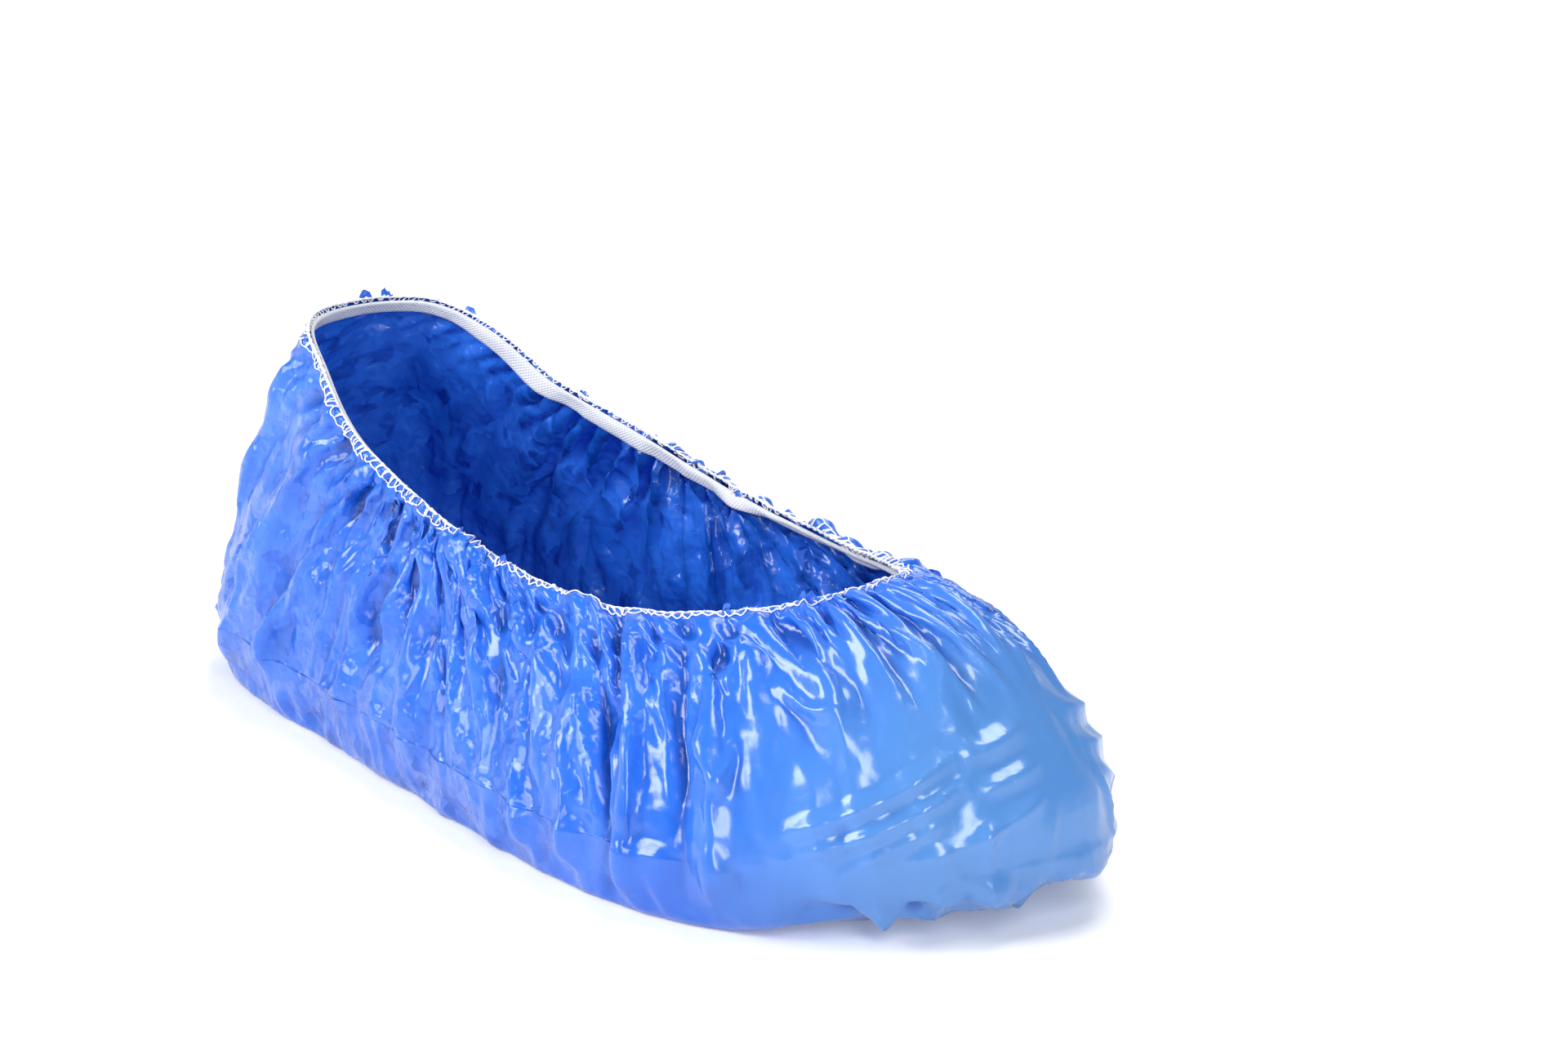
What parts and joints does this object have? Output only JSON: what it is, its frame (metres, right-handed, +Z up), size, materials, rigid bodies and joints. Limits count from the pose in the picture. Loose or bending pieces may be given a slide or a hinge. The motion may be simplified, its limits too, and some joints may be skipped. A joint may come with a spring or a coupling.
{
  "type": "disposable shoe cover",
  "caption": "Thin plastic film shoe cover with a gathered, elasticated opening, holding the form of a low shoe, standing on its sole.",
  "frame": {"origin": "on the floor, under the middle of the bounding box", "axes": "+X from heel to toe, +Y to the inner (medial) side of this right-foot cover, +Z up"},
  "size_m": [0.3258, 0.1372, 0.1071],
  "materials": {
    "film_blue": "glossy embossed polyethylene film, creased",
    "elastic_white": "matt knitted elastic with overlock thread"
  },
  "bodies": {
    "root": {"film_body": "film_blue", "elastic_band": "elastic_white"}
  },
  "joints": []
}
